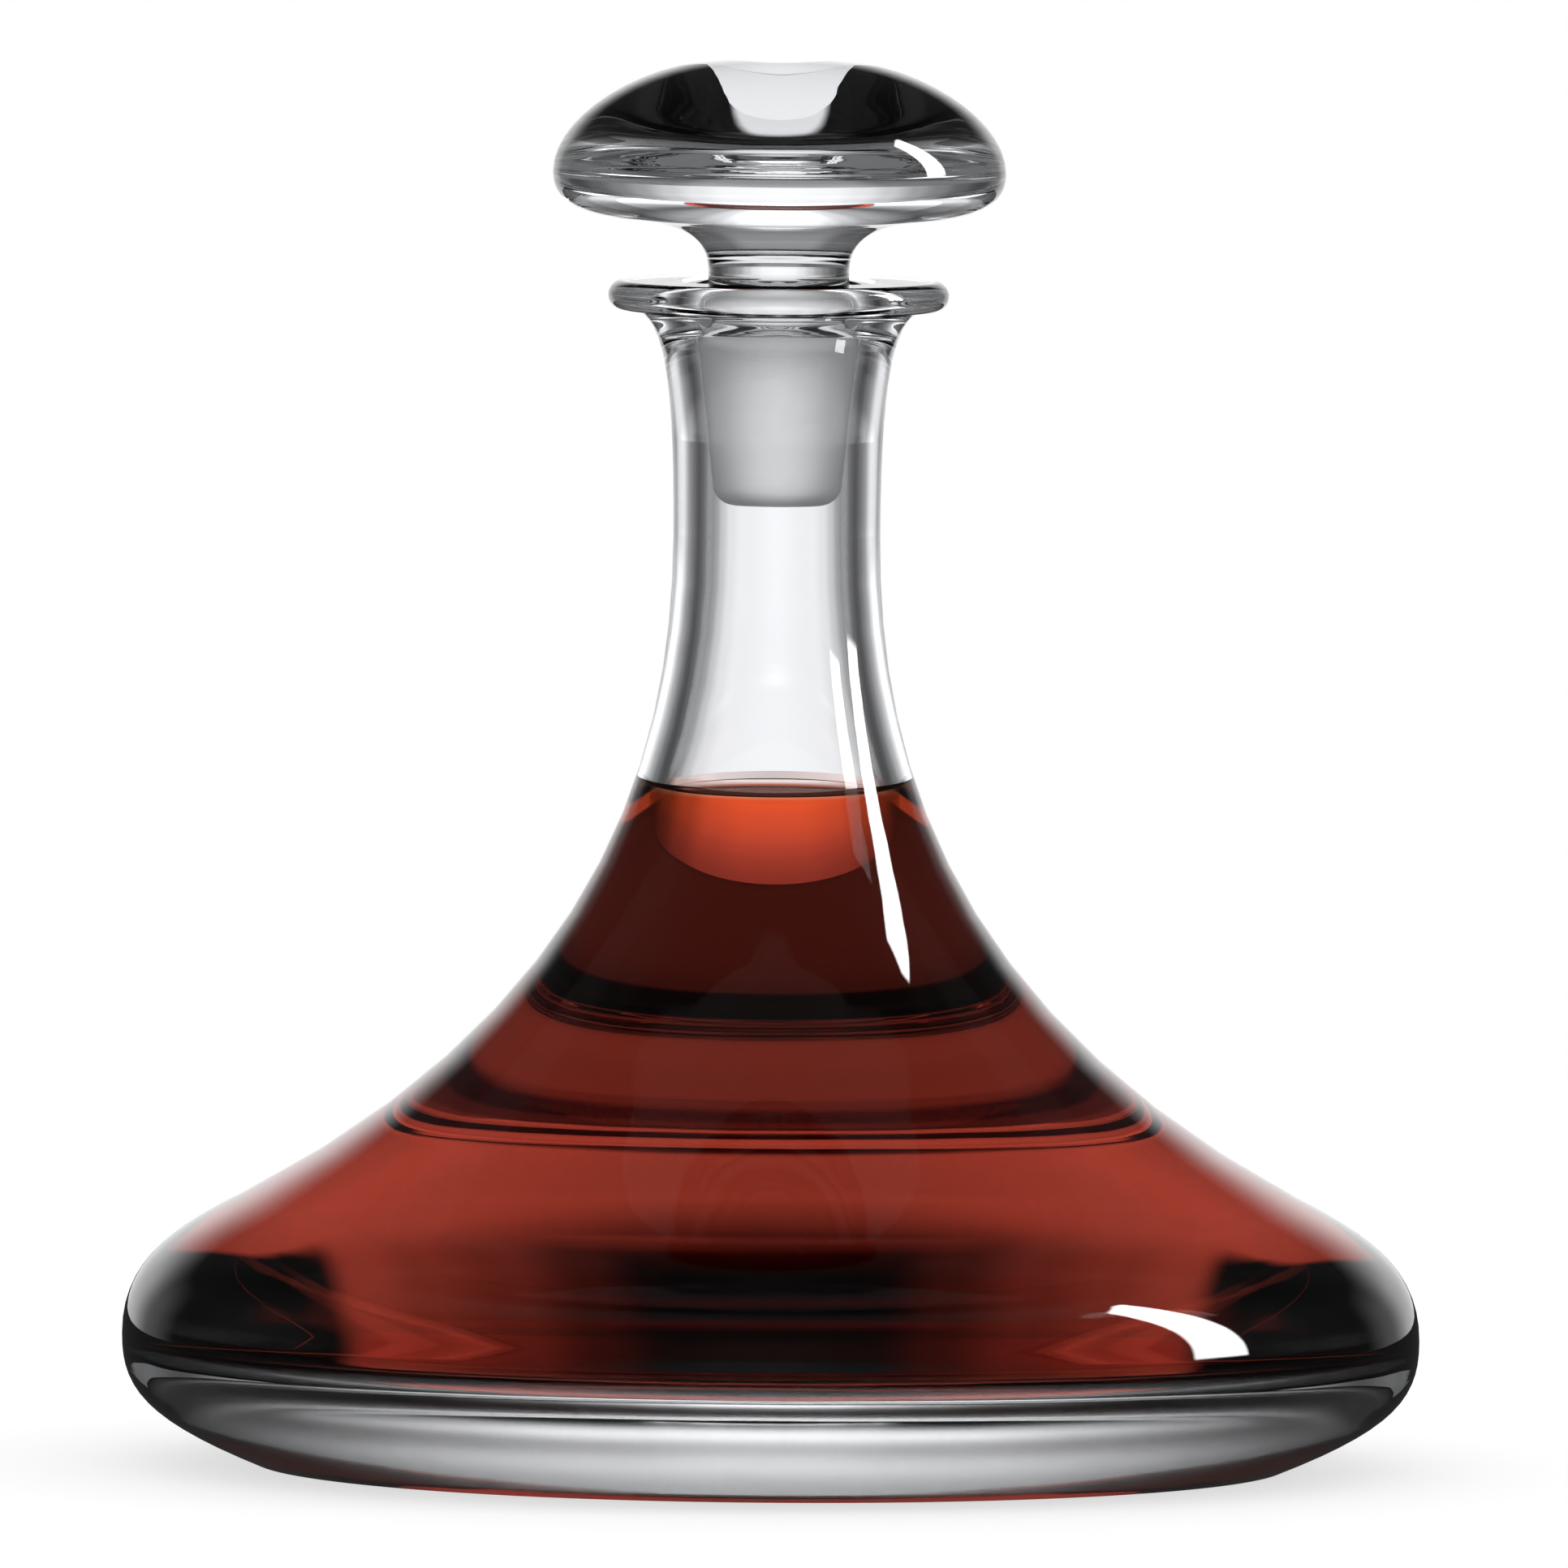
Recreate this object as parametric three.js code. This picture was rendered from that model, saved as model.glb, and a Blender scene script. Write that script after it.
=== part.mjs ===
// A captain's decanter: a broad, heavy-footed glass vessel, its solid glass stopper and the wine in it.
// Millimetres, +Z up. The origin is the centre of the flat face that the vessel stands on.
// Every piece is turned about the Z axis from an outline of radius and height.
import * as THREE from 'three';

// Outside of the vessel, from the foot up.
const FOOT_RADIUS = 79.5;
const FOOT_ANGLE = 22;
const BELLY_RADIUS = 100;
const BELLY_HEIGHT = 19.6;
const SHOULDER_RADIUS = 80.8;
const SHOULDER_HEIGHT = 41.5;
const SHOULDER_ANGLE = 28.3;
const NECK_RADIUS = 15.95;
const NECK_HEIGHT = 143.2;

// The ring lip round the mouth.
const VESSEL_HEIGHT = 182.6;
const LIP_RADIUS = 26.25;
const LIP_THICKNESS = 4.5;
const LIP_FILLET = 3.2;
const MOUTH_RADIUS = 16;

// Glass thickness.
const NECK_WALL = 5.05;
const SHOULDER_WALL = 3.4;
const BELLY_WALL = 3.2;
const BASE_THICKNESS = 15;
const FLOOR_RADIUS = 86.3;
const HOLLOW_BELLY_HEIGHT = 21.8;

// The ground cone in the mouth, and the stopper's plug that is ground to the same taper.
const SEAT_DEPTH = 6.6;
const SEAT_LENGTH = 18;
const SEAT_TAPER = 0.105;
const SEAT_GAP = 0.3;
const PLUG_LENGTH = 27.8;
const PLUG_CORNER = 3.5;

// The stopper's waist and its domed head.
const WAIST_RADIUS = 10.85;
const WAIST_LIFT = 0.4;
const WAIST_LENGTH = 1.2;
const HEAD_CLEARANCE = 9.35;
const HEAD_UNDERSIDE_RADIUS = 22.2;
const HEAD_UNDERSIDE_ANGLE = 4.6;
const HEAD_RADIUS = 34.9;
const HEAD_RIM_HEIGHT = 7.35;
const HEAD_DOME_HEIGHT = 17.9;
const POLE_RADIUS = 5.5;
const POLE_ANGLE = 2.3;

// The wine: its level, and the film of space that keeps it off the glass.
const WINE_LEVEL = 104.5;
const WINE_GAP = 0.3;

// Every piece has the same number of sides, set in step, so that neighbours keep an even gap.
const SIDES = 48;
const UP = 90;
const DOWN = -90;
const OUTWARD = 0;
const INWARD = 180;

const GLASS_COLOUR = 0xdfe6e9;
const WINE_COLOUR = 0x6e1a1c;

const point = (radius, height) => new THREE.Vector2(radius, height);

const direction = (degrees) => {
  const angle = THREE.MathUtils.degToRad(degrees);
  return new THREE.Vector2(Math.cos(angle), Math.sin(angle));
};

// A straight stretch of an outline.
const straight = (from, to) => [from, to];

// A round stretch: it leaves `from` at one angle and reaches `to` at another. Each end holds its
// direction for a share of the straight distance between them.
function bend(from, fromAngle, fromShare, to, toAngle, toShare, steps) {
  const distance = from.distanceTo(to);
  const leaving = from.clone().addScaledVector(direction(fromAngle), distance * fromShare);
  const arriving = to.clone().addScaledVector(direction(toAngle), -distance * toShare);
  return new THREE.CubicBezierCurve(from, leaving, arriving, to).getPoints(steps);
}

// A stretch of a circle round `centre`, from one angle to another.
function arc(centre, radius, fromAngle, toAngle, steps) {
  const from = THREE.MathUtils.degToRad(fromAngle);
  const to = THREE.MathUtils.degToRad(toAngle);
  const clockwise = toAngle < fromAngle;
  return new THREE.EllipseCurve(centre.x, centre.y, radius, radius, from, to, clockwise).getPoints(steps);
}

// Stretches joined end to end, with the points that they share kept once.
function outline(...stretches) {
  const nearest = 0.001;
  return stretches.flat().filter((at, index, all) => index === 0 || at.distanceTo(all[index - 1]) > nearest);
}

// The same outline moved sideways by `gap`, to the left of the way that it runs.
function inset(points, gap) {
  return points.map((at, index) => {
    const before = points[Math.max(index - 1, 0)];
    const after = points[Math.min(index + 1, points.length - 1)];
    const along = after.clone().sub(before).normalize();
    return point(Math.max(at.x - along.y * gap, 0), at.y + along.x * gap);
  });
}

// The solid that an outline sweeps round the Z axis. The outline runs from the axis, up the
// outside and back to the axis.
function turned(name, points, material) {
  const geometry = new THREE.LatheGeometry(points, SIDES);
  geometry.rotateX(Math.PI / 2);
  const mesh = new THREE.Mesh(geometry, material);
  mesh.name = name;
  return mesh;
}

// The shoulder is where the belly's round turns into the hollow sweep of the neck.
const shoulderOutside = point(SHOULDER_RADIUS, SHOULDER_HEIGHT);
const shoulderInside = shoulderOutside.clone().addScaledVector(direction(UP - SHOULDER_ANGLE), -SHOULDER_WALL);
const boreRadius = NECK_RADIUS - NECK_WALL;

// The ground cone starts at the bore's radius and widens up to the mouth.
const seatTop = point(boreRadius + SEAT_TAPER * SEAT_LENGTH, VESSEL_HEIGHT - SEAT_DEPTH);
const seatBottom = point(boreRadius, seatTop.y - SEAT_LENGTH);

function vesselOutside() {
  const lipRound = LIP_THICKNESS / 2;
  const lipCentre = point(LIP_RADIUS - lipRound, VESSEL_HEIGHT - lipRound);
  const underLip = point(LIP_RADIUS - LIP_FILLET, VESSEL_HEIGHT - LIP_THICKNESS);
  const belly = point(BELLY_RADIUS, BELLY_HEIGHT);
  const neck = point(NECK_RADIUS, NECK_HEIGHT);
  return outline(
    straight(point(0, 0), point(FOOT_RADIUS, 0)),
    bend(point(FOOT_RADIUS, 0), FOOT_ANGLE, 0.65, belly, UP, 0.29, 9),
    bend(belly, UP, 0.405, shoulderOutside, INWARD - SHOULDER_ANGLE, 0.415, 6),
    bend(shoulderOutside, INWARD - SHOULDER_ANGLE, 0.54, neck, UP, 0.245, 12),
    bend(neck, UP, 0.675, underLip, OUTWARD, 0.155, 8),
    arc(lipCentre, lipRound, DOWN, UP, 6),
  );
}

// The hollow's lower outline, from the neck down to the middle of the floor.
function hollow() {
  const bore = point(boreRadius, NECK_HEIGHT);
  const belly = point(BELLY_RADIUS - BELLY_WALL, HOLLOW_BELLY_HEIGHT);
  const floorEdge = point(FLOOR_RADIUS, BASE_THICKNESS);
  return outline(
    bend(bore, DOWN, 0.28, shoulderInside, -SHOULDER_ANGLE, 0.51, 12),
    bend(shoulderInside, -SHOULDER_ANGLE, 0.415, belly, DOWN, 0.405, 6),
    bend(belly, DOWN, 0.25, floorEdge, INWARD, 0.27, 7),
    straight(floorEdge, point(0, BASE_THICKNESS)),
  );
}

function vesselInside() {
  const mouth = point(MOUTH_RADIUS, VESSEL_HEIGHT);
  return outline(
    bend(mouth, INWARD, 0.4, seatTop, DOWN, 0.4, 4),
    straight(seatTop, seatBottom),
    hollow(),
  );
}

function decanterBody() {
  const glass = new THREE.MeshStandardMaterial({
    color: GLASS_COLOUR, roughness: 0.03, metalness: 0, transparent: true, opacity: 0.35,
  });
  return turned('decanter_body', outline(vesselOutside(), vesselInside()), glass);
}

// The wine follows the hollow, a small gap inside it, up to its level.
function wine() {
  const wall = inset(hollow(), -WINE_GAP).reverse();
  const below = wall.filter((at) => at.y < WINE_LEVEL);
  const lower = below.at(-1);
  const upper = wall[below.length];
  const share = (WINE_LEVEL - lower.y) / (upper.y - lower.y);
  const edge = lower.clone().lerp(upper, share);
  const liquid = new THREE.MeshStandardMaterial({
    color: WINE_COLOUR, roughness: 0.05, metalness: 0, transparent: true, opacity: 0.9,
  });
  return turned('wine', outline(below, straight(edge, point(0, WINE_LEVEL))), liquid);
}

// The plug has the seat's taper, a clearance inside it, and goes on down past the seat.
function stopperPlug() {
  const top = point(seatTop.x - SEAT_GAP, seatTop.y);
  const bottomHeight = top.y - PLUG_LENGTH;
  const sideRadius = (height) => top.x - SEAT_TAPER * (top.y - height);
  const cornerHeight = bottomHeight + PLUG_CORNER;
  const cornerCentre = point(sideRadius(cornerHeight) - PLUG_CORNER, cornerHeight);
  return outline(
    straight(point(0, bottomHeight), point(cornerCentre.x, bottomHeight)),
    arc(cornerCentre, PLUG_CORNER, DOWN, OUTWARD, 4),
    straight(point(sideRadius(cornerHeight), cornerHeight), top),
  );
}

function stopperHead(plugTop) {
  const waistBottom = point(WAIST_RADIUS, VESSEL_HEIGHT + WAIST_LIFT);
  const waistTop = point(WAIST_RADIUS, waistBottom.y + WAIST_LENGTH);
  const underside = point(HEAD_UNDERSIDE_RADIUS, VESSEL_HEIGHT + HEAD_CLEARANCE);
  const rim = point(HEAD_RADIUS, underside.y + HEAD_RIM_HEIGHT);
  const pole = point(POLE_RADIUS, rim.y + HEAD_DOME_HEIGHT);
  return outline(
    bend(plugTop, UP, 0.35, waistBottom, UP, 0.45, 4),
    straight(waistBottom, waistTop),
    bend(waistTop, UP, 0.3, underside, HEAD_UNDERSIDE_ANGLE, 0.62, 7),
    bend(underside, HEAD_UNDERSIDE_ANGLE, 0.7, rim, UP, 0.26, 6),
    bend(rim, UP, 0.24, pole, INWARD - POLE_ANGLE, 0.47, 9),
    straight(pole, point(0, pole.y)),
  );
}

function stopper() {
  const glass = new THREE.MeshStandardMaterial({
    color: GLASS_COLOUR, roughness: 0.05, metalness: 0, transparent: true, opacity: 0.4,
  });
  const plug = stopperPlug();
  return turned('stopper', outline(plug, stopperHead(plug.at(-1))), glass);
}

const decanter = new THREE.Group();
decanter.add(decanterBody(), stopper(), wine());

export default decanter;
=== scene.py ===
import math

import bpy
from mathutils import Euler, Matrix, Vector


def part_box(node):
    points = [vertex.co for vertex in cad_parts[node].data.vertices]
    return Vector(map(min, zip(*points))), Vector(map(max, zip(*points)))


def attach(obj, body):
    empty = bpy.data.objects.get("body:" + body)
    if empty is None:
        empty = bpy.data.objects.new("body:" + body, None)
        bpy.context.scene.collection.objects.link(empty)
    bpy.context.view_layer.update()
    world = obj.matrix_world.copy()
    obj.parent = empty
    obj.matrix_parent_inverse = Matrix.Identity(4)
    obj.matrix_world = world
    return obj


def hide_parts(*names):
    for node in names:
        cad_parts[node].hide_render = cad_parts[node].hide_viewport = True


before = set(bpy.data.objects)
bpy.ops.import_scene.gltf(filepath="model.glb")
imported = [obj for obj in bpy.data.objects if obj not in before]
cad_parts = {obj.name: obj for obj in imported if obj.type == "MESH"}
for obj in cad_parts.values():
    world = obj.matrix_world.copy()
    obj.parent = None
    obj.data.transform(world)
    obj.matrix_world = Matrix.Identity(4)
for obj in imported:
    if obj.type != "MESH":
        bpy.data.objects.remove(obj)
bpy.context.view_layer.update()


# The studio: a long lens a little above a round white table top. A low white sweep stands close round the
# object and a dark collar hangs round the stopper, and only the glass shows them. The ceiling is white, and
# nothing in front is bright but one tall window light at the right.
CAMERA_DISTANCE = 7.346
CAMERA_HEIGHT = 0.552
CAMERA_ROLL = math.radians(0.44)
PICTURE_WIDTH = 0.2415
AIM = Vector((0.0014, 0, 0.105))
SENSOR = 36
LIGHT_BOUNCES = 24
MIRROR_BOUNCES = 16

camera_place = Vector((AIM.x, -CAMERA_DISTANCE, CAMERA_HEIGHT))
looking = AIM - camera_place
rolled = looking.to_track_quat("-Z", "Y") @ Euler((0, 0, CAMERA_ROLL)).to_quaternion()
bpy.ops.object.camera_add(location=camera_place)
camera = bpy.context.object
camera.rotation_euler = rolled.to_euler()
camera.data.sensor_width = SENSOR
camera.data.lens = SENSOR * looking.length / PICTURE_WIDTH
bpy.context.scene.camera = camera
bpy.context.scene.view_settings.view_transform = "Standard"
bpy.context.scene.cycles.max_bounces = LIGHT_BOUNCES
bpy.context.scene.cycles.transmission_bounces = LIGHT_BOUNCES
bpy.context.scene.cycles.glossy_bounces = MIRROR_BOUNCES


def new_material(name):
    material = bpy.data.materials.new(name)
    material.use_nodes = True
    tree = material.node_tree
    tree.nodes.clear()
    return material, tree


def add_node(tree, kind, **settings):
    node = tree.nodes.new(kind)
    for key, value in settings.items():
        setattr(node, key, value)
    return node


def plug(tree, socket, value):
    """Sets a socket to a number or a colour, or links it to another socket."""
    if isinstance(value, bpy.types.NodeSocket):
        tree.links.new(value, socket)
    else:
        socket.default_value = value


def maths(tree, operation, first, second=0.0, third=0.0):
    node = add_node(tree, "ShaderNodeMath", operation=operation)
    plug(tree, node.inputs[0], first)
    plug(tree, node.inputs[1], second)
    plug(tree, node.inputs[2], third)
    return node.outputs[0]


def soft_step(tree, value, low, high):
    """A smooth rise from 0 at `low` to 1 at `high`, or a fall when `low` is the larger."""
    node = add_node(tree, "ShaderNodeMapRange", interpolation_type="SMOOTHSTEP")
    plug(tree, node.inputs["Value"], value)
    plug(tree, node.inputs["From Min"], low)
    plug(tree, node.inputs["From Max"], high)
    return node.outputs[0]


def between(tree, value, low, high, soft):
    """1 between two values and 0 outside them, with soft edges."""
    rise = soft_step(tree, value, low - soft, low + soft)
    fall = soft_step(tree, value, high + soft, high - soft)
    return maths(tree, "MULTIPLY", rise, fall)


def levels(tree, value, stops):
    """Brightness along a row of (value, brightness) stops."""
    first, last = stops[0][0], stops[-1][0]
    share = add_node(tree, "ShaderNodeMapRange")
    plug(tree, share.inputs["Value"], value)
    plug(tree, share.inputs["From Min"], first)
    plug(tree, share.inputs["From Max"], last)
    ramp = add_node(tree, "ShaderNodeValToRGB")
    ramp.color_ramp.interpolation = "EASE"
    while len(ramp.color_ramp.elements) < len(stops):
        ramp.color_ramp.elements.new(0.5)
    for element, (at, level) in zip(ramp.color_ramp.elements, stops):
        element.position = (at - first) / (last - first)
        element.color = (level, level, level, 1)
    tree.links.new(share.outputs[0], ramp.inputs[0])
    return ramp.outputs[0]


def shine(tree, level, colour=(1, 1, 1)):
    """A background or an emission of one colour."""
    node = add_node(tree, "ShaderNodeBackground" if tree == sky else "ShaderNodeEmission")
    node.inputs["Color"].default_value = (*colour, 1)
    plug(tree, node.inputs["Strength"], level)
    return node.outputs[0]


def choose(tree, share, first, second):
    """The first shader, or the second where `share` is 1."""
    node = add_node(tree, "ShaderNodeMixShader")
    plug(tree, node.inputs[0], share)
    tree.links.new(first, node.inputs[1])
    tree.links.new(second, node.inputs[2])
    return node.outputs[0]


def compass_of(tree, place):
    """Degrees round the object: 0 at its back, 90 at its right and 180 at its front."""
    return maths(tree, "DEGREES", maths(tree, "ARCTAN2", place.outputs["X"], place.outputs["Y"]))


world = bpy.data.worlds.new("studio")
bpy.context.scene.world = world
world.use_nodes = True
sky = world.node_tree
sky.nodes.clear()
FILL_LIGHT = 0.85
DARK_ROOM = 0.03
COOL_WHITE = (0.96, 0.975, 1.0)
# Each pair is degrees above the horizon, and brightness.
CEILING = ((0, 0.5), (30, 0.55), (45, 0.6), (52, 0.7), (57, 0.95), (70, 0.95), (80, 0.8), (90, 0.7))
# Each pair is degrees from the back, and brightness. It goes from none to full between two heights.
WHITE_BEHIND = ((0, 1.0), (20, 0.9), (34, 0.3), (50, 0.0))
BEHIND_NONE, BEHIND_FULL = 24, 8
# Light that has crossed two surfaces has been through clear glass only, and past four, through the wine.
CLEAR_CROSSINGS, WINE_CROSSINGS = 2.5, 4.5

# The window light, in degrees round and degrees above the horizon. The outside of the glass mirrors it, and
# the far wall shows a painted reflection of it, a little further round.
WINDOW_SIDES = (86.0, 99.0)
WINDOW_LOW, WINDOW_HIGH = 6, 52
WINDOW_BLUR, SILL_BLUR = 0.6, 0.8
# How far the window leans back and its top slopes down, as shares, and the drop at which the slope starts.
WINDOW_LEAN = 0.1
WINDOW_CORNER, CORNER_START = 0.35, 1.5
WINDOW_STRENGTH = 20
PAINTED_INNER_SHIFT = 8


def window_light(tree, compass, height):
    """The window's shape: it leans back as it rises, and its upper corner towards the front is cut off."""
    compass = maths(tree, "ADD", compass, maths(tree, "MULTIPLY", height, WINDOW_LEAN))
    lowered = maths(tree, "MULTIPLY", maths(tree, "SUBTRACT", compass, WINDOW_SIDES[0]), WINDOW_CORNER)
    lowered = maths(tree, "MAXIMUM", lowered, CORNER_START)
    top = maths(tree, "SUBTRACT", WINDOW_HIGH + CORNER_START, lowered)
    shape = maths(tree, "MULTIPLY", between(tree, compass, *WINDOW_SIDES, WINDOW_BLUR),
                  soft_step(tree, height, WINDOW_LOW - SILL_BLUR, WINDOW_LOW + SILL_BLUR))
    under = soft_step(tree, maths(tree, "SUBTRACT", height, top), WINDOW_BLUR, -WINDOW_BLUR)
    return maths(tree, "MULTIPLY", maths(tree, "MULTIPLY", shape, under), WINDOW_STRENGTH)


def painted_inner_window(tree, compass, height):
    """A painted reflection: a copy of the window, a little further round, in light that went into the glass, was
    mirrored once on its far wall and came out again.
    """
    path = add_node(tree, "ShaderNodeLightPath")
    short = maths(tree, "LESS_THAN", path.outputs["Transmission Depth"], CLEAR_CROSSINGS)
    once = maths(tree, "COMPARE", path.outputs["Glossy Depth"], 1.0, 0.5)
    shifted = maths(tree, "SUBTRACT", compass, PAINTED_INNER_SHIFT)
    return maths(tree, "MULTIPLY", window_light(tree, shifted, height), maths(tree, "MULTIPLY", short, once))


where = add_node(sky, "ShaderNodeTexCoord")
direction = add_node(sky, "ShaderNodeSeparateXYZ")
sky.links.new(where.outputs["Generated"], direction.inputs[0])
compass = compass_of(sky, direction)
height = maths(sky, "DEGREES", maths(sky, "ARCSINE", direction.outputs["Z"]))
behind = levels(sky, maths(sky, "ABSOLUTE", compass), WHITE_BEHIND)
behind = maths(sky, "MULTIPLY", behind, soft_step(sky, height, BEHIND_NONE, BEHIND_FULL))
path = add_node(sky, "ShaderNodeLightPath")
first_mirror = maths(sky, "LESS_THAN", path.outputs["Glossy Depth"], 1.5)
window = maths(sky, "MULTIPLY", window_light(sky, compass, height), first_mirror)
mirrored = maths(sky, "MAXIMUM", maths(sky, "MAXIMUM", behind, DARK_ROOM), window)
through_glass = maths(sky, "ADD", levels(sky, height, CEILING), painted_inner_window(sky, compass, height))
lit = choose(sky, path.outputs["Is Glossy Ray"], shine(sky, FILL_LIGHT), shine(sky, mirrored))
lit = choose(sky, path.outputs["Is Transmission Ray"], lit, shine(sky, through_glass, COOL_WHITE))
seen = choose(sky, path.outputs["Is Camera Ray"], lit, shine(sky, 1.0))
out = add_node(sky, "ShaderNodeOutputWorld")
sky.links.new(seen, out.inputs[0])

# The sweep. Seen through the wine, which magnifies it, it has a dark foot of painted shade that opens a little on
# both sides of its middle. Seen through the clear foot of the glass it is plain white. Its foot and the table
# lie a hair below the object.
SWEEP_RADIUS = 0.3
SWEEP_TOP = 0.26
TABLE_DROP = 0.0002
ROUND_SIDES = 128
WINDOW_AXIS = 0.143
# Each pair is degrees to the side, and brightness.
SWEEP = ((0, 1.1), (8, 1.05), (13, 0.9), (18, 0.66), (24, 0.38), (30, 0.24), (38, 0.13), (45, 0.1))
CLEAR_SWEEP = ((0, 2.1), (7, 1.95), (12, 1.35), (18, 0.9), (26, 0.5), (45, 0.15))
WINE_SWEEP = ((0, 0.8), (6, 0.92), (10, 1.05), (14, 0.9), (18, 0.75), (23, 0.8), (30, 0.5), (45, 0.15))
PAINTED_SWEEP_FOOT = ((0, 0.0), (1.5, 0.0), (2.5, 0.1), (4, 0.36), (6, 0.58), (8, 0.8), (8.8, 0.8), (10.5, 0.0), (45, 0.0))
# Each pair is degrees to the side, and metres above the table: where the painted dark foot starts to fade and
# ends.
FOOT_FADE = ((0, 0.04), (8, 0.04), (13, 0.049), (22, 0.058), (45, 0.06))
FOOT_END = ((0, 0.085), (8, 0.07), (13, 0.055), (22, 0.065), (45, 0.07))
# Each pair is degrees from the back, and a share of the brightness.
SIDE_STRENGTH = ((0, 1.0), (40, 1.0), (50, 0.5), (130, 0.5), (140, 0.3), (180, 0.3))
# Each pair is metres above the table, and a share of the brightness.
TOP_FADE = ((0, 1.0), (0.2, 1.0), (0.23, 0.8), (0.26, 0.5))
# In metres above the table: none of the light for the wine or the clear foot, and all of it.
WINE_LIGHT_NONE, WINE_LIGHT_FULL = 0.15, 0.12
CLEAR_LIGHT_NONE, CLEAR_LIGHT_FULL = 0.13, 0.1


def object_place(tree):
    where = add_node(tree, "ShaderNodeTexCoord")
    place = add_node(tree, "ShaderNodeSeparateXYZ")
    tree.links.new(where.outputs["Object"], place.inputs[0])
    return place


def toward_side(tree, compass):
    """Degrees from the nearest of the four sides that the sweep faces, so that each side is lit alike."""
    return maths(tree, "PINGPONG", compass, 45)


def blend(tree, share, first, second):
    """The first number, or the second where `share` is 1."""
    node = add_node(tree, "ShaderNodeMix", data_type="FLOAT")
    plug(tree, node.inputs[0], share)
    plug(tree, node.inputs[2], first)
    plug(tree, node.inputs[3], second)
    return node.outputs[0]


def cover(tree, surface):
    """Gives a material its surface."""
    out = add_node(tree, "ShaderNodeOutputMaterial")
    tree.links.new(surface, out.inputs["Surface"])
    return out


def stand_screen(name, radius, low, high):
    """A round screen that stands about the object, which only light that has crossed glass can reach."""
    bpy.ops.object.select_all(action="DESELECT")
    bpy.ops.mesh.primitive_cylinder_add(
        vertices=ROUND_SIDES, radius=radius, depth=high - low, end_fill_type="NOTHING",
        location=(0, 0, (low + high) / 2))
    bpy.ops.object.transform_apply(location=True)
    screen = bpy.context.object
    screen.name = name
    screen.visible_camera = screen.visible_diffuse = screen.visible_glossy = False
    screen.visible_shadow = screen.visible_volume_scatter = False
    paint, tree = new_material(name + "_paint")
    paint.cycles.emission_sampling = "NONE"
    screen.data.materials.append(paint)
    return tree


tree = stand_screen("white_sweep", SWEEP_RADIUS, -TABLE_DROP, SWEEP_TOP)
place = object_place(tree)
compass = compass_of(tree, place)
aside = toward_side(tree, compass)
path = add_node(tree, "ShaderNodeLightPath")
crossings = path.outputs["Transmission Depth"]
through_wine = maths(tree, "MULTIPLY", maths(tree, "GREATER_THAN", crossings, WINE_CROSSINGS),
                     soft_step(tree, place.outputs["Z"], WINE_LIGHT_NONE, WINE_LIGHT_FULL))
through_foot = maths(tree, "MULTIPLY", maths(tree, "LESS_THAN", crossings, CLEAR_CROSSINGS),
                     soft_step(tree, place.outputs["Z"], CLEAR_LIGHT_NONE, CLEAR_LIGHT_FULL))
above_foot = soft_step(tree, place.outputs["Z"], levels(tree, aside, FOOT_FADE), levels(tree, aside, FOOT_END))
low_sweep = blend(tree, above_foot, levels(tree, aside, PAINTED_SWEEP_FOOT), levels(tree, aside, WINE_SWEEP))
level = blend(tree, through_wine, levels(tree, aside, SWEEP), low_sweep)
level = blend(tree, through_foot, level, levels(tree, aside, CLEAR_SWEEP))
level = maths(tree, "MULTIPLY", level, levels(tree, maths(tree, "ABSOLUTE", compass), SIDE_STRENGTH))
level = maths(tree, "MULTIPLY", level, levels(tree, place.outputs["Z"], TOP_FADE))
# The sweep's side also shows the painted reflection of the window, at the same slant as it has above it.
rise = maths(tree, "DIVIDE", maths(tree, "SUBTRACT", place.outputs["Z"], WINDOW_AXIS), SWEEP_RADIUS)
slant = maths(tree, "DEGREES", maths(tree, "ARCTANGENT", rise))
level = maths(tree, "ADD", level, painted_inner_window(tree, compass, slant))
cover(tree, shine(tree, level, COOL_WHITE))

# The collar, at the height of the stopper's head. It has a narrow gap in each side.
COLLAR_RADIUS = 0.15
COLLAR_LOW, COLLAR_HIGH = 0.205, 0.4
# Each pair is metres above the table, and brightness.
COLLAR = ((0.205, 0.34), (0.235, 0.3), (0.25, 0.15), (0.262, 0.0), (0.4, 0.0))
# Each pair is degrees to the side, and a share of the brightness.
COLLAR_SIDES = ((0, 1.0), (8, 1.0), (15, 0.5), (45, 0.5))
# The gap opens round this height, and its half width in degrees grows upwards.
GAP_HEIGHT = 0.33
GAP_NONE, GAP_FULL = -0.004, 0.012
GAP_HALF_WIDTH, GAP_WIDENING = 8, 200
GAP_BLUR = 3
GAP_BRIGHTNESS = 0.8
tree = stand_screen("dark_collar", COLLAR_RADIUS, COLLAR_LOW, COLLAR_HIGH)
place = object_place(tree)
aside = toward_side(tree, compass_of(tree, place))
level = maths(tree, "MULTIPLY", levels(tree, place.outputs["Z"], COLLAR), levels(tree, aside, COLLAR_SIDES))
above_gap = maths(tree, "SUBTRACT", place.outputs["Z"], GAP_HEIGHT)
gap_edge = maths(tree, "MULTIPLY_ADD", above_gap, GAP_WIDENING, GAP_HALF_WIDTH)
gap = maths(tree, "MULTIPLY", soft_step(tree, above_gap, GAP_NONE, GAP_FULL),
            soft_step(tree, maths(tree, "SUBTRACT", aside, gap_edge), GAP_BLUR, -GAP_BLUR))
level = maths(tree, "MAXIMUM", level, maths(tree, "MULTIPLY", gap, GAP_BRIGHTNESS))
cover(tree, shine(tree, level, COOL_WHITE))

# The table top. Seen through the glass it carries a painted shadow of the object: it is painted dark under and
# round the object and bright only beyond.
TABLE_RADIUS = 0.9
TABLE_COLOUR = (0.42, 0.42, 0.42)
TABLE_ROUGHNESS = 0.9
TABLE_GLOW = 0.67
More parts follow.
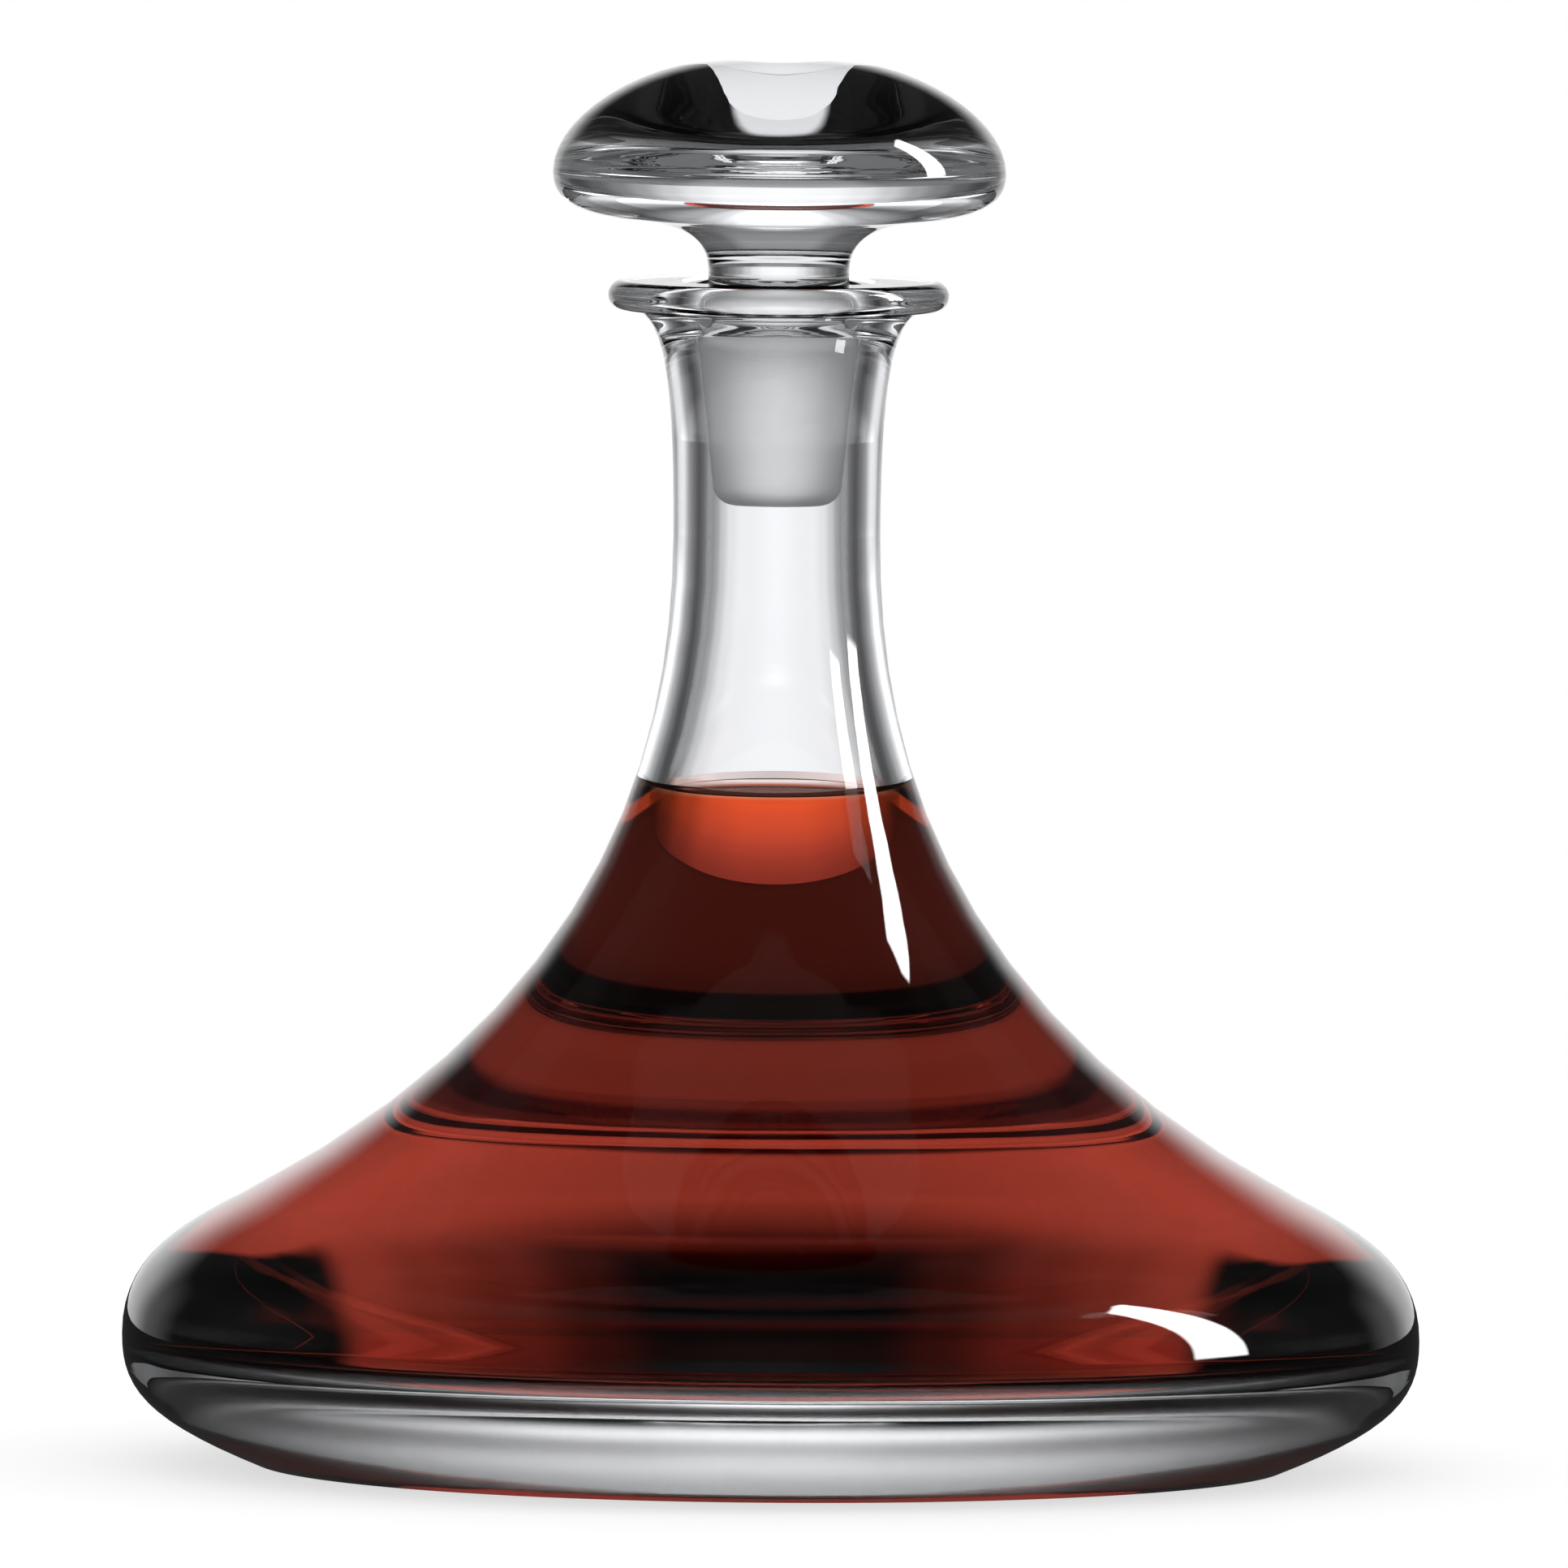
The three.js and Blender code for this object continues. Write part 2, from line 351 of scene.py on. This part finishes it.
# Each pair is the distance from the object's middle, in metres, and brightness: a painted shadow round the object
# and painted light beyond it.
TABLE_PAINTED_LIGHT_AND_SHADOW = ((0, 0.13), (0.075, 0.13), (0.095, 0.1), (0.099, 0.0), (0.107, 0.0), (0.112, 0.3), (0.122, 0.45),
               (0.15, 0.5), (0.17, 0.57), (0.19, 0.7), (0.21, 0.88), (0.24, 1.05), (0.27, 1.2), (0.3, 1.2))
# Each pair is degrees to the side, and a share of that brightness. The sides are painted darker from the first
# pair of distances to the second, and are even again past it.
TABLE_SIDES = ((0, 1.0), (4, 1.0), (10, 0.85), (16, 0.5), (23, 0.22), (30, 0.08), (45, 0.05))
DARKER_FROM, EVEN_FROM = (0.08, 0.1), (0.3, 0.4)
# Layer Weight's Facing where the painted reflection is all dark and where it is all bright, and the distances
# over which the painted reflection sets in.
PAINTED_REFLECTION_DARK, PAINTED_REFLECTION_BRIGHT = 0.8, 0.62
PAINTED_REFLECTION_FROM = (0.1, 0.12)
# A painted bright ring of light round the foot: its inner and outer distance from the middle, in metres, and its
# blur.
PAINTED_FOOT_RING = (0.082, 0.098)
PAINTED_FOOT_RING_BLUR = 0.002
# Each pair is degrees from the back, and the brightness of the painted ring.
PAINTED_FOOT_RING_LIGHT = ((0, 0.0), (45, 0.0), (56, 1.0), (124, 1.0), (135, 0.0), (180, 0.0))


def vector_maths(tree, operation, first, second=(0, 0, 0)):
    node = add_node(tree, "ShaderNodeVectorMath", operation=operation)
    plug(tree, node.inputs[0], first)
    plug(tree, node.inputs[1], second)
    return node


bpy.ops.object.select_all(action="DESELECT")
bpy.ops.mesh.primitive_circle_add(
    vertices=ROUND_SIDES, radius=TABLE_RADIUS, fill_type="NGON", location=(0, 0, -TABLE_DROP))
table = bpy.context.object
table.name = "table_top"
table_paint, tree = new_material("white_table")
matt = add_node(tree, "ShaderNodeBsdfPrincipled")
matt.inputs["Base Color"].default_value = (*TABLE_COLOUR, 1)
matt.inputs["Roughness"].default_value = TABLE_ROUGHNESS
path = add_node(tree, "ShaderNodeLightPath")
both = add_node(tree, "ShaderNodeAddShader")
tree.links.new(matt.outputs[0], both.inputs[0])
tree.links.new(shine(tree, maths(tree, "MULTIPLY", path.outputs["Is Camera Ray"], TABLE_GLOW)), both.inputs[1])
where = add_node(tree, "ShaderNodeTexCoord")
far = vector_maths(tree, "LENGTH", where.outputs["Object"]).outputs["Value"]
compass = compass_of(tree, object_place(tree))
aside = toward_side(tree, compass)
shade = blend(tree, soft_step(tree, far, *DARKER_FROM), 1.0, levels(tree, aside, TABLE_SIDES))
shade = blend(tree, soft_step(tree, far, *EVEN_FROM), shade, 1.0)
# Seen at a slant, the table is painted as if a polish mirrored the dark foot of the sweep, a painted
# reflection, and a bright ring round the foot is painted light.
slant = add_node(tree, "ShaderNodeLayerWeight")
slant.inputs["Blend"].default_value = 0.5
painted_reflection = soft_step(tree, slant.outputs["Facing"], PAINTED_REFLECTION_DARK, PAINTED_REFLECTION_BRIGHT)
shade = maths(tree, "MULTIPLY", shade, blend(tree, soft_step(tree, far, *PAINTED_REFLECTION_FROM), 1.0, painted_reflection))
through_glass = maths(tree, "MULTIPLY", levels(tree, far, TABLE_PAINTED_LIGHT_AND_SHADOW), shade)
painted_ring = maths(tree, "MULTIPLY", between(tree, far, *PAINTED_FOOT_RING, PAINTED_FOOT_RING_BLUR),
             levels(tree, maths(tree, "ABSOLUTE", compass), PAINTED_FOOT_RING_LIGHT))
through_glass = maths(tree, "MAXIMUM", through_glass, painted_ring)
through_foot = maths(tree, "LESS_THAN", path.outputs["Transmission Depth"], CLEAR_CROSSINGS)
through_glass = blend(tree, through_foot, through_glass, levels(tree, aside, CLEAR_SWEEP))
# Seen in a mirror, the table is painted as dark as the room: painted shade.
surface = choose(tree, path.outputs["Is Glossy Ray"], both.outputs[0], shine(tree, DARK_ROOM))
cover(tree, choose(tree, path.outputs["Is Transmission Ray"], surface, shine(tree, through_glass, COOL_WHITE)))
table.data.materials.append(table_paint)


# The vessel: one piece of clear crystal, blown and then opened out at the lip. The heavy foot is ground
# flat and polished.
MM = 0.001
body_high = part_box("decanter_body")[1]
wine_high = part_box("wine")[1]
BELLY_RADIUS = body_high.x
VESSEL_HEIGHT = body_high.z
FOOT_RADIUS = 79.5 * MM
FOOT_ANGLE = 22
BELLY_HEIGHT = 19.6 * MM
SHOULDER_RADIUS = 80.8 * MM
SHOULDER_HEIGHT = 41.5 * MM
SHOULDER_ANGLE = 28.3
NECK_RADIUS = 15.95 * MM
NECK_HEIGHT = 143.2 * MM
LIP_RADIUS = 26.25 * MM
LIP_THICKNESS = 4.5 * MM
LIP_FILLET = 3.2 * MM
MOUTH_RADIUS = 16 * MM
NECK_WALL = 5.05 * MM
SHOULDER_WALL = 3.4 * MM
BELLY_WALL = 3.2 * MM
BASE_THICKNESS = 15 * MM
FLOOR_RADIUS = 86.3 * MM
HOLLOW_BELLY_HEIGHT = 21.8 * MM
SEAT_DEPTH = 6.6 * MM
SEAT_LENGTH = 18 * MM
SEAT_TAPER = 0.105
lip_round = LIP_THICKNESS / 2
bore_radius = NECK_RADIUS - NECK_WALL
seat_top = Vector((bore_radius + SEAT_TAPER * SEAT_LENGTH, VESSEL_HEIGHT - SEAT_DEPTH))
seat_bottom = Vector((bore_radius, seat_top.y - SEAT_LENGTH))
UP, DOWN, OUTWARD, INWARD = 90, -90, 0, 180
# The share of the straight distance that makes a bend a quarter of a circle.
QUARTER = 0.39
CURVE_STEPS = 14
TURN_STEPS = 192


def heading(degrees):
    angle = math.radians(degrees)
    return Vector((math.cos(angle), math.sin(angle)))


class Outline:
    """A pen that draws half of a turned shape, as radius and height."""

    def __init__(self, radius, height):
        start = Vector((radius, height))
        self.knots = [[start, start.copy(), start.copy()]]

    def line(self, radius, height):
        to = Vector((radius, height))
        self.knots.append([to, to.copy(), to.copy()])

    def bend(self, leaving, leave_share, to, arriving, arrive_share):
        """A round stretch that leaves at one angle and arrives at another, as on the drawing."""
        last = self.knots[-1]
        to = Vector(to)
        reach = (to - last[0]).length
        last[2] = last[0] + heading(leaving) * reach * leave_share
        self.knots.append([to, to - heading(arriving) * reach * arrive_share, to.copy()])

    def turn(self, name):
        """Draws the outline as a curve, makes it a mesh and spins it round the Z axis."""
        bpy.ops.object.select_all(action="DESELECT")
        bpy.ops.curve.primitive_bezier_curve_add(location=(0, 0, 0))
        drawn = bpy.context.object
        drawn.data.dimensions = "3D"
        drawn.data.resolution_u = CURVE_STEPS
        spline = drawn.data.splines[0]
        spline.bezier_points.add(len(self.knots) - 2)
        for point, (at, before, after) in zip(spline.bezier_points, self.knots):
            point.handle_left_type = point.handle_right_type = "FREE"
            point.co = (at.x, 0, at.y)
            point.handle_left = (before.x, 0, before.y)
            point.handle_right = (after.x, 0, after.y)
        bpy.ops.object.convert(target="MESH")
        piece = bpy.context.object
        piece.name = piece.data.name = name
        bpy.ops.object.mode_set(mode="EDIT")
        bpy.ops.mesh.select_all(action="SELECT")
        bpy.ops.mesh.remove_doubles(threshold=0.02 * MM)
        bpy.ops.mesh.select_all(action="SELECT")
        bpy.ops.mesh.spin(steps=TURN_STEPS, angle=2 * math.pi, center=(0, 0, 0), axis=(0, 0, 1))
        bpy.ops.mesh.select_all(action="SELECT")
        bpy.ops.mesh.remove_doubles(threshold=0.005 * MM)
        bpy.ops.mesh.normals_make_consistent(inside=False)
        bpy.ops.object.mode_set(mode="OBJECT")
        bpy.ops.object.shade_smooth()
        return piece


def draw_hollow(pen, grow):
    """The hollow from the bore down to the middle of its floor, moved into the glass by `grow`."""
    normal = heading(UP - SHOULDER_ANGLE)
    shoulder = Vector((SHOULDER_RADIUS, SHOULDER_HEIGHT)) - normal * (SHOULDER_WALL - grow)
    belly = (BELLY_RADIUS - BELLY_WALL + grow, HOLLOW_BELLY_HEIGHT)
    pen.bend(DOWN, 0.28, shoulder, -SHOULDER_ANGLE, 0.51)
    pen.bend(-SHOULDER_ANGLE, 0.415, belly, DOWN, 0.405)
    pen.bend(DOWN, 0.25, (FLOOR_RADIUS, BASE_THICKNESS - grow), INWARD, 0.27)
    pen.line(0, BASE_THICKNESS - grow)


pen = Outline(0, 0)
pen.line(FOOT_RADIUS, 0)
pen.bend(FOOT_ANGLE, 0.65, (BELLY_RADIUS, BELLY_HEIGHT), UP, 0.29)
pen.bend(UP, 0.405, (SHOULDER_RADIUS, SHOULDER_HEIGHT), INWARD - SHOULDER_ANGLE, 0.415)
pen.bend(INWARD - SHOULDER_ANGLE, 0.54, (NECK_RADIUS, NECK_HEIGHT), UP, 0.245)
pen.bend(UP, 0.675, (LIP_RADIUS - LIP_FILLET, VESSEL_HEIGHT - LIP_THICKNESS), OUTWARD, 0.155)
pen.line(LIP_RADIUS - lip_round, VESSEL_HEIGHT - LIP_THICKNESS)
pen.bend(OUTWARD, QUARTER, (LIP_RADIUS, VESSEL_HEIGHT - lip_round), UP, QUARTER)
pen.bend(UP, QUARTER, (LIP_RADIUS - lip_round, VESSEL_HEIGHT), INWARD, QUARTER)
pen.line(MOUTH_RADIUS, VESSEL_HEIGHT)
pen.bend(INWARD, 0.4, seat_top, DOWN, 0.4)
pen.line(*seat_bottom)
pen.line(bore_radius, NECK_HEIGHT)
draw_hollow(pen, 0)
vessel = pen.turn("vessel")

# Where the inner wall is wet, light passes from the glass into wine, not air. The middle of the wine dips
# below the top of its plain solid, and the wall is wet to a little above that.
LEVEL_DIP = 1.6 * MM
WET_RISE = 1.7 * MM
FLOOR_MARGIN = 1 * MM
INWARD_SLOPE = 0.01
wine_level = wine_high.z - LEVEL_DIP
wet_top = wine_level + WET_RISE
bpy.ops.object.mode_set(mode="EDIT")
bpy.ops.mesh.select_all(action="SELECT")
bpy.ops.mesh.bisect(plane_co=(0, 0, wet_top), plane_no=(0, 0, 1))
bpy.ops.mesh.select_all(action="DESELECT")
bpy.ops.object.mode_set(mode="OBJECT")
for face in vessel.data.polygons:
    at, facing = face.center, face.normal
    inward = facing.x * at.x + facing.y * at.y < -INWARD_SLOPE * at.to_2d().length
    floor = facing.z > 0.5 and at.z < BASE_THICKNESS + FLOOR_MARGIN
    wet = (inward or floor) and BASE_THICKNESS - FLOOR_MARGIN < at.z < wet_top
    face.material_index = 1 if wet else 0

# Glass that is blown and turned by hand has long, very shallow waves in it.
WAVE_STRETCH = (1, 1, 2.2)
waves = bpy.data.node_groups.new("hand_made_waves", "ShaderNodeTree")
waves.interface.new_socket("Waves per metre", in_out="INPUT", socket_type="NodeSocketFloat")
waves.interface.new_socket("Height", in_out="OUTPUT", socket_type="NodeSocketFloat")
given = add_node(waves, "NodeGroupInput")
made = add_node(waves, "NodeGroupOutput")
where = add_node(waves, "ShaderNodeTexCoord")
squeeze = add_node(waves, "ShaderNodeMapping")
squeeze.inputs["Scale"].default_value = WAVE_STRETCH
swell = add_node(waves, "ShaderNodeTexNoise")
swell.inputs["Detail"].default_value = 1
waves.links.new(where.outputs["Object"], squeeze.inputs["Vector"])
waves.links.new(squeeze.outputs[0], swell.inputs["Vector"])
waves.links.new(given.outputs[0], swell.inputs["Scale"])
waves.links.new(swell.outputs[0], made.inputs[0])


def bend_by_waves(tree, per_metre, depth):
    """A surface that is bent by the shared waves."""
    height = add_node(tree, "ShaderNodeGroup", node_tree=waves)
    height.inputs[0].default_value = per_metre
    bump = add_node(tree, "ShaderNodeBump")
    bump.inputs["Strength"].default_value = 1
    bump.inputs["Distance"].default_value = depth
    tree.links.new(height.outputs[0], bump.inputs["Height"])
    return bump.outputs[0]


def mix_colours(tree, share, first, second):
    """The first colour, or the second where `share` is 1."""
    node = add_node(tree, "ShaderNodeMix", data_type="RGBA")
    plug(tree, node.inputs[0], share)
    plug(tree, node.inputs[6], first)
    plug(tree, node.inputs[7], second)
    return node.outputs[2]


CLEAR = (1, 1, 1, 1)
BLACK = (0, 0, 0, 1)


def painted_dark_in_mirrors(tree):
    """Clear, but painted black where another polished surface mirrors it, a painted shade, so the body of the
    glass counts for nothing in that reflection.
    """
    path = add_node(tree, "ShaderNodeLightPath")
    outside = maths(tree, "LESS_THAN", path.outputs["Transmission Depth"], 0.5)
    return mix_colours(tree, maths(tree, "MULTIPLY", path.outputs["Is Glossy Ray"], outside), CLEAR, BLACK)


GLASS_IOR = 1.53
WINE_IOR = 1.345
VESSEL_WAVES = 35
VESSEL_WAVE_DEPTH = 0.05 * MM
# The flat face of the foot is dulled by use.
WORN_ROUGHNESS = 0.24
WORN_HEIGHT = 0.05 * MM
for name, ior in (("crystal", GLASS_IOR), ("wet_crystal", GLASS_IOR / WINE_IOR)):
    crystal, tree = new_material(name)
    glass = add_node(tree, "ShaderNodeBsdfPrincipled")
    tree.links.new(painted_dark_in_mirrors(tree), glass.inputs["Base Color"])
    tree.links.new(bend_by_waves(tree, VESSEL_WAVES, VESSEL_WAVE_DEPTH), glass.inputs["Normal"])
    worn = soft_step(tree, object_place(tree).outputs["Z"], WORN_HEIGHT, 0)
    path = add_node(tree, "ShaderNodeLightPath")
    near = maths(tree, "LESS_THAN", path.outputs["Transmission Depth"], 1.5)
    worn = maths(tree, "MULTIPLY", maths(tree, "MULTIPLY", worn, near), WORN_ROUGHNESS)
    tree.links.new(worn, glass.inputs["Roughness"])
    glass.inputs["IOR"].default_value = ior
    glass.inputs["Transmission Weight"].default_value = 1
    cover(tree, glass.outputs[0])
    vessel.data.materials.append(crystal)
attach(vessel, "vessel")
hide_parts("decanter_body")


# The stopper: a solid piece of crystal, pressed and polished, whose plug is ground to a frosted cone
# that fits the mouth.
stopper_low, stopper_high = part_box("stopper")
SEAT_GAP = 0.3 * MM
PLUG_CORNER = 3.5 * MM
WAIST_RADIUS = 10.85 * MM
WAIST_LIFT = 0.4 * MM
WAIST_LENGTH = 1.2 * MM
HEAD_CLEARANCE = 9.35 * MM
HEAD_UNDERSIDE_RADIUS = 22.2 * MM
HEAD_UNDERSIDE_ANGLE = 4.6
HEAD_RADIUS = stopper_high.x
HEAD_RIM_HEIGHT = 7.35 * MM
POLE_RADIUS = 5.5 * MM
POLE_ANGLE = 2.3
plug_bottom = stopper_low.z
plug_top = Vector((seat_top.x - SEAT_GAP, seat_top.y))
corner_height = plug_bottom + PLUG_CORNER
side_radius = plug_top.x - SEAT_TAPER * (plug_top.y - corner_height)
waist_height = VESSEL_HEIGHT + WAIST_LIFT
underside_height = VESSEL_HEIGHT + HEAD_CLEARANCE
rim_height = underside_height + HEAD_RIM_HEIGHT
pen = Outline(0, plug_bottom)
pen.line(side_radius - PLUG_CORNER, plug_bottom)
pen.bend(OUTWARD, QUARTER, (side_radius, corner_height), UP, QUARTER)
pen.line(*plug_top)
pen.bend(UP, 0.35, (WAIST_RADIUS, waist_height), UP, 0.45)
pen.line(WAIST_RADIUS, waist_height + WAIST_LENGTH)
pen.bend(UP, 0.3, (HEAD_UNDERSIDE_RADIUS, underside_height), HEAD_UNDERSIDE_ANGLE, 0.62)
pen.bend(HEAD_UNDERSIDE_ANGLE, 0.7, (HEAD_RADIUS, rim_height), UP, 0.26)
pen.bend(UP, 0.24, (POLE_RADIUS, stopper_high.z), INWARD - POLE_ANGLE, 0.47)
pen.line(0, stopper_high.z)
stopper = pen.turn("glass_stopper")

STOPPER_WAVES = 60
STOPPER_WAVE_DEPTH = 0.03 * MM
GROUND_ROUGHNESS = 0.5
GROUND_EDGE = 0.5 * MM
GRIT_VARIATION = 0.3
# Grinding leaves fine rings round the plug: grains per metre, much closer along the plug than round it.
GRIT_SCALE = (120, 120, 2600)
GRIT_DEPTH = 0.02 * MM
ground_crystal, tree = new_material("ground_crystal")
glass = add_node(tree, "ShaderNodeBsdfPrincipled")
tree.links.new(painted_dark_in_mirrors(tree), glass.inputs["Base Color"])
glass.inputs["IOR"].default_value = GLASS_IOR
glass.inputs["Transmission Weight"].default_value = 1
where = add_node(tree, "ShaderNodeTexCoord")
rings = add_node(tree, "ShaderNodeMapping")
rings.inputs["Scale"].default_value = GRIT_SCALE
grit = add_node(tree, "ShaderNodeTexNoise")
grit.inputs["Scale"].default_value = 1
grit.inputs["Detail"].default_value = 3
tree.links.new(where.outputs["Object"], rings.inputs["Vector"])
tree.links.new(rings.outputs[0], grit.inputs["Vector"])
ground = soft_step(tree, object_place(tree).outputs["Z"], plug_top.y, plug_top.y - GROUND_EDGE)
coarse = maths(tree, "MULTIPLY_ADD", grit.outputs[0], GRIT_VARIATION, GROUND_ROUGHNESS - GRIT_VARIATION / 2)
tree.links.new(maths(tree, "MULTIPLY", ground, coarse), glass.inputs["Roughness"])
scratched = add_node(tree, "ShaderNodeBump")
scratched.inputs["Distance"].default_value = GRIT_DEPTH
tree.links.new(maths(tree, "MULTIPLY", ground, grit.outputs[0]), scratched.inputs["Height"])
tree.links.new(bend_by_waves(tree, STOPPER_WAVES, STOPPER_WAVE_DEPTH), scratched.inputs["Normal"])
tree.links.new(scratched.outputs[0], glass.inputs["Normal"])
cover(tree, glass.outputs[0])
stopper.data.materials.append(ground_crystal)
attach(stopper, "stopper")
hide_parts("stopper")


# The wine: it fills the hollow to the foot of the neck and lies against the wet glass, which it climbs a
# little way.
WINE_SKIN = 0.05 * MM
CLIMB = 2.9 * MM
# Steps in from the wall: millimetres in, and a share of the climb down. Each is shallower than the last.
MENISCUS = ((0.1, 0.2), (0.15, 0.18), (0.2, 0.15), (0.25, 0.13), (0.35, 0.11), (0.45, 0.09), (0.6, 0.07),
            (0.8, 0.04), (1.0, 0.03))
wet_height = wine_level + CLIMB
pen = Outline(bore_radius - WINE_SKIN, NECK_HEIGHT)
draw_hollow(pen, -WINE_SKIN)
wine = pen.turn("wine_fill")
bpy.ops.object.mode_set(mode="EDIT")
bpy.ops.mesh.select_all(action="SELECT")
bpy.ops.mesh.bisect(plane_co=(0, 0, wet_height), plane_no=(0, 0, 1), clear_outer=True, use_fill=True)
bpy.ops.mesh.select_all(action="DESELECT")
bpy.ops.object.mode_set(mode="OBJECT")
top_face = max(wine.data.polygons, key=lambda face: face.center.z)
top_face.select = True
bpy.ops.object.mode_set(mode="EDIT")
for step_in, step_down in MENISCUS:
    bpy.ops.mesh.inset(thickness=step_in * MM, depth=-step_down * CLIMB)
bpy.ops.mesh.select_all(action="SELECT")
bpy.ops.mesh.normals_make_consistent(inside=False)
bpy.ops.object.mode_set(mode="OBJECT")
bpy.ops.object.shade_smooth_by_angle(angle=math.radians(30))
rim_radius = max(v.co.to_2d().length for v in wine.data.vertices if v.co.z > wet_height - 0.01 * MM)

# Near its surface the wine looks more orange. The thin film that climbs the glass is paler, partly its own thin
# colour and partly a painted reflection of white.
WINE_TINT = (1.0, 0.12, 0.07, 1)
SURFACE_TINT = (1.0, 0.11, 0.025, 1)
FILM_TINT_AND_SHEEN = (0.95, 0.8, 0.76, 1)
# The near black the wine is painted for light thrown about inside: painted shade.
PAINTED_DARK_WINE = (0.02, 0.002, 0.001, 1)
STAIN, STAIN_DENSITY = (0.2, 0.136, 0.072, 1), 10
# Heights about the level, between which one look turns into the next.
ORANGE_RANGE = (-11 * MM, -3 * MM)
FILM_AND_SHEEN_RANGE = (0.05 * MM, 0.9 * MM)
RIM_RANGE = (0.02 * MM, 0.3 * MM)
SURFACE_RANGE = (-0.02 * MM, -0.01 * MM)
RIM_ROUGHNESS = 0.2
# The height over which the wet glass ends, and how near the widest radius a side of the wine has to be.
DRY_EDGE = 0.1 * MM
RIM_TOLERANCE = 0.08 * MM
ENTRY_CROSSINGS = 5.5
red_wine, tree = new_material("red_wine")
liquid = add_node(tree, "ShaderNodeBsdfPrincipled")
liquid.inputs["Transmission Weight"].default_value = 1
where = add_node(tree, "ShaderNodeTexCoord")
height = object_place(tree).outputs["Z"]


def about_level(low, high):
    """A smooth rise between two heights that are counted from the wine's level."""
    return soft_step(tree, height, wine_level + low, wine_level + high)


# Light bends at the wine's top, where it meets the air. The film on the glass is too thin to bend it, and
# at the sides the wet glass has bent it already. The true normal turns towards the light's way through, so
# a side is known by its steepness and its distance from the axis.
top = maths(tree, "MULTIPLY", about_level(*SURFACE_RANGE), soft_step(tree, height, wet_top, wet_top - DRY_EDGE))
shape = add_node(tree, "ShaderNodeNewGeometry")
flat_place = vector_maths(tree, "MULTIPLY", where.outputs["Object"], (1, 1, 0)).outputs[0]
from_axis = vector_maths(tree, "NORMALIZE", flat_place).outputs[0]
outward = vector_maths(tree, "DOT_PRODUCT", shape.outputs["True Normal"], from_axis).outputs["Value"]
steep = maths(tree, "GREATER_THAN", maths(tree, "ABSOLUTE", outward), 0.5)
distance = vector_maths(tree, "LENGTH", flat_place).outputs["Value"]
outer = maths(tree, "MULTIPLY", steep, maths(tree, "GREATER_THAN", distance, rim_radius - RIM_TOLERANCE))
top = maths(tree, "MULTIPLY", top, maths(tree, "SUBTRACT", 1.0, outer))
liquid.inputs["IOR"].default_value = WINE_IOR
tree.links.new(blend(tree, top, 1.0, WINE_IOR), liquid.inputs["IOR"])
# The rising rim of the wine is never still, which blurs what is seen through it.
rim = maths(tree, "MULTIPLY", maths(tree, "MULTIPLY", about_level(*RIM_RANGE), top), RIM_ROUGHNESS)
tree.links.new(rim, liquid.inputs["Roughness"])
# Light is tinted as it goes in. For light that has been thrown about inside, mirrored more than once or from a
# diffuse surface, the wine is painted near black: painted shade that darkens its inner reflections and its shadow
# on the table.
path = add_node(tree, "ShaderNodeLightPath")
ripe = mix_colours(tree, about_level(*ORANGE_RANGE), WINE_TINT, SURFACE_TINT)
film_and_sheen = mix_colours(tree, about_level(*FILM_AND_SHEEN_RANGE), ripe, FILM_TINT_AND_SHEEN)
going_in = maths(tree, "LESS_THAN", path.outputs["Transmission Depth"], ENTRY_CROSSINGS)
painted_dark = maths(tree, "MAXIMUM", maths(tree, "GREATER_THAN", path.outputs["Glossy Depth"], 1.5),
             maths(tree, "GREATER_THAN", path.outputs["Diffuse Depth"], 0.5))
tint = mix_colours(tree, painted_dark, mix_colours(tree, going_in, CLEAR, film_and_sheen), PAINTED_DARK_WINE)
tree.links.new(tint, liquid.inputs["Base Color"])
stain = add_node(tree, "ShaderNodeVolumeAbsorption")
stain.inputs["Color"].default_value = STAIN
stain.inputs["Density"].default_value = STAIN_DENSITY
out = cover(tree, liquid.outputs[0])
tree.links.new(stain.outputs[0], out.inputs["Volume"])
wine.data.materials.append(red_wine)
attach(wine, "vessel")
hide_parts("wine")
